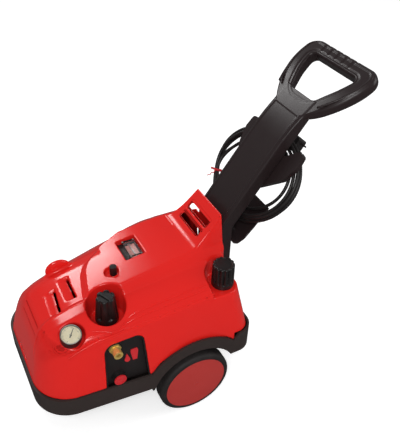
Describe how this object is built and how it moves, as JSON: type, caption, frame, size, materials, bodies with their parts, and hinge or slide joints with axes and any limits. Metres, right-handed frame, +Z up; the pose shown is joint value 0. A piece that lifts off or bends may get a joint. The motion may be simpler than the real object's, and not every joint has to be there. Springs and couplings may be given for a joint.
{
  "type": "pressure washer",
  "caption": "Wheeled cold-water pressure washer with a moulded hood, side outlets, regulator knob, gauge, rear handle column with a D-grip and a coiled mains lead.",
  "frame": {"origin": "on the floor under the middle of the machine's bounding box, measured without the mains lead", "axes": "+X from the nose to the handle, +Z up, outlets and gauge on the -Y side"},
  "size_m": [0.9212, 0.424, 0.8572],
  "materials": {
    "hood_red": "gloss",
    "cover_red": "satin",
    "mark_red": "gloss",
    "tray_black": "satin",
    "handle_black": "satin",
    "panel_black": "satin",
    "knob_black": "satin",
    "gauge_black": "satin",
    "rubber_black": "matte",
    "tyre_black": "matte",
    "cable_black": "matte",
    "dial_cream": "matte",
    "rocker_pink": "gloss",
    "tank_white": "satin",
    "clear": "clear",
    "brass": "satin",
    "steel": "satin",
    "motor_aluminium": "cast"
  },
  "bodies": {
    "frame": {"chassis_tray": "tray_black", "hood": "hood_red", "outlet_panel": "panel_black", "panel_marks": "mark_red", "handle_column": "handle_black", "handle_grip": "handle_black", "grip_pad": "rubber_black", "cable_cleat": "handle_black", "cable_pocket": "handle_black", "foot_bolts": "steel", "pressure_outlet": "brass", "water_inlet": "panel_black", "gauge_case": "gauge_black", "gauge_dial": "dial_cream", "gauge_glass": "clear", "unloader_valve": "brass", "detergent_valve": "brass", "switch_frame": "panel_black", "switch_pins": "steel", "switch_cover": "clear", "switch_screws": "steel", "switch_box": "panel_black", "detergent_tank": "tank_white", "axle": "steel", "axle_washers": "steel", "castor_plate": "steel", "motor_housing": "motor_aluminium", "fan_cowl": "panel_black", "motor_mounts": "rubber_black", "pump_body": "motor_aluminium", "pump_head": "brass", "pressure_pipe": "steel", "supply_hose": "rubber_black", "cable_gland": "cable_black", "cable_lead": "cable_black", "cable_coil": "cable_black", "cable_tie": "mark_red", "mains_plug": "cable_black"},
    "wheel_left": {"tyre_left": "tyre_black", "rim_left": "panel_black", "wheel_cover_left": "cover_red"},
    "wheel_right": {"tyre_right": "tyre_black", "rim_right": "panel_black", "wheel_cover_right": "cover_red"},
    "castor_swivel": {"castor_fork": "steel"},
    "castor_roller": {"castor_wheel": "rubber_black"},
    "pressure_knob": {"regulator_knob": "knob_black"},
    "dose_knob": {"detergent_knob": "knob_black"},
    "rocker": {"switch_rocker": "rocker_pink"},
    "filler_cap": {"tank_cap": "knob_black", "tank_cap_seal": "rubber_black"},
    "dust_cap": {"inlet_cap": "mark_red"},
    "needle": {"gauge_needle": "gauge_black"},
    "rotor": {"motor_rotor": "steel", "motor_fan": "panel_black"}
  },
  "joints": [
    {"name": "wheel_left_spin", "type": "hinge", "parent": "frame", "child": "wheel_left", "pos_m": [-0.0626, -0.187, 0.1], "axis": [0, 1, 0], "continuous": true},
    {"name": "wheel_right_spin", "type": "hinge", "parent": "frame", "child": "wheel_right", "pos_m": [-0.0626, 0.187, 0.1], "axis": [0, 1, 0], "continuous": true},
    {"name": "castor_swivel", "type": "hinge", "parent": "frame", "child": "castor_swivel", "pos_m": [-0.3026, 0, 0.1267], "axis": [0, 0, 1], "continuous": true},
    {"name": "castor_spin", "type": "hinge", "parent": "castor_swivel", "child": "castor_roller", "pos_m": [-0.2726, 0, 0.038], "axis": [0, 1, 0], "continuous": true},
    {"name": "pressure_knob_turn", "type": "hinge", "parent": "frame", "child": "pressure_knob", "pos_m": [-0.2606, -0.112, 0.354], "axis": [0, 0, 1], "range_deg": [0, 300]},
    {"name": "dose_knob_turn", "type": "hinge", "parent": "frame", "child": "dose_knob", "pos_m": [-0.2116, -0.037, 0.415], "axis": [0, 0, 1], "range_deg": [0, 270]},
    {"name": "rocker_tilt", "type": "hinge", "parent": "frame", "child": "rocker", "pos_m": [-0.1376, 0.018, 0.4186], "axis": [0, 1, 0], "range_deg": [0, 16]},
    {"name": "filler_cap_lift", "type": "slide", "parent": "frame", "child": "filler_cap", "axis": [0, 0, 1], "range_m": [0, 0.08]},
    {"name": "dust_cap_pull", "type": "slide", "parent": "frame", "child": "dust_cap", "axis": [0, -1, 0], "range_m": [0, 0.05]},
    {"name": "needle_sweep", "type": "hinge", "parent": "frame", "child": "needle", "pos_m": [-0.3586, -0.144, 0.378], "axis": [0, -0.2924, 0.9563], "range_deg": [-170, 100]},
    {"name": "rotor_spin", "type": "hinge", "parent": "frame", "child": "rotor", "pos_m": [-0.1326, 0, 0.24], "axis": [1, 0, 0], "continuous": true}
  ]
}
